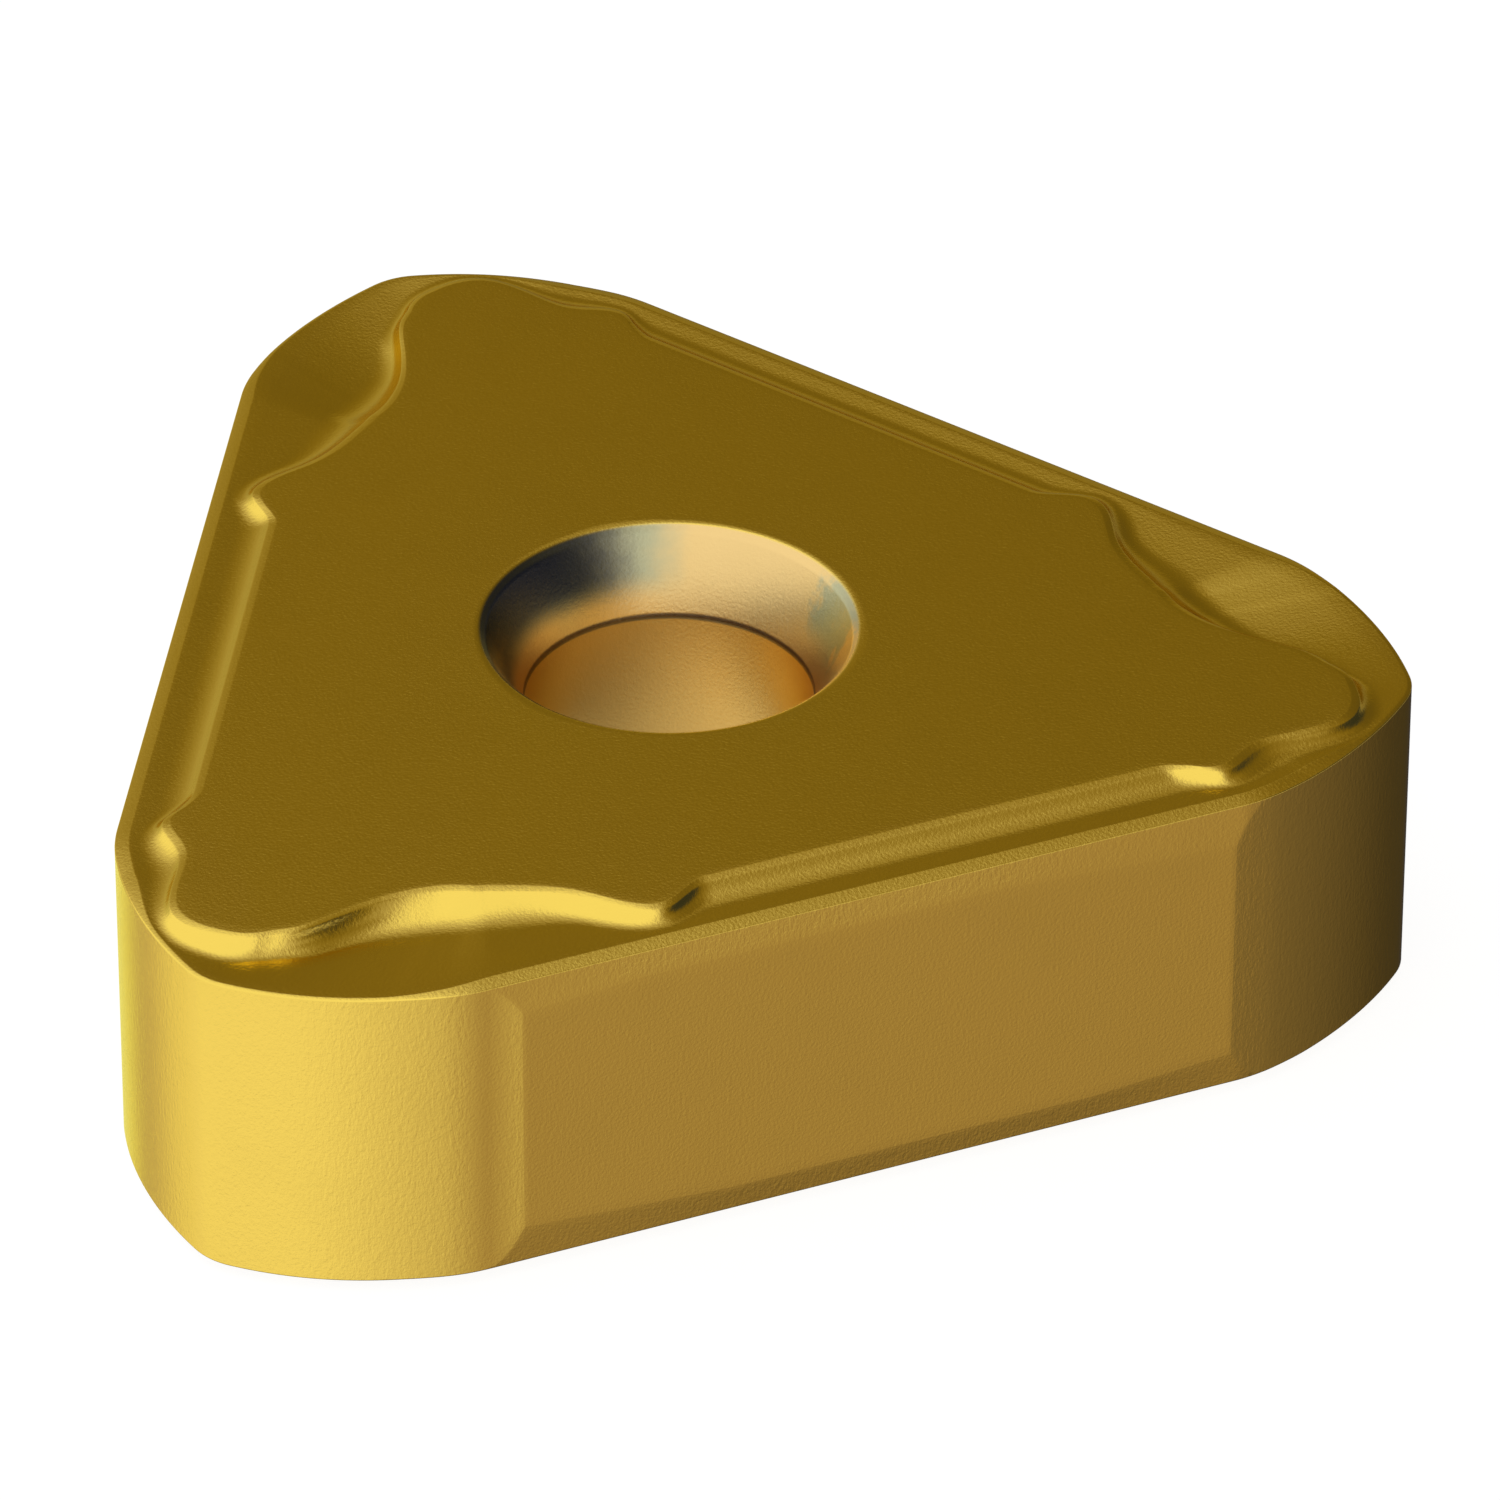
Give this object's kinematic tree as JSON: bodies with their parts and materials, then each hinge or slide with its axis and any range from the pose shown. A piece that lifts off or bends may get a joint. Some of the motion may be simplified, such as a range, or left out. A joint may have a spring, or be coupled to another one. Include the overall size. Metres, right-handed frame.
{
  "type": "carbide insert",
  "caption": "Double-sided trigonal cutting insert with rounded corners, a moulded chip groove behind each edge, and a flared through hole for a clamping screw.",
  "frame": {"origin": "middle of the lower seat face, on the axis of the through hole", "axes": "+Z along the hole from the lower seat face to the upper one; one flat side faces -Y, so that one cutting corner points to +Y"},
  "size_m": [0.0148, 0.0139, 0.004],
  "materials": {
    "coated_carbide": "satin gold ceramic coating over sintered tungsten carbide"
  },
  "bodies": {
    "root": {"insert_body": "coated_carbide"}
  },
  "joints": []
}
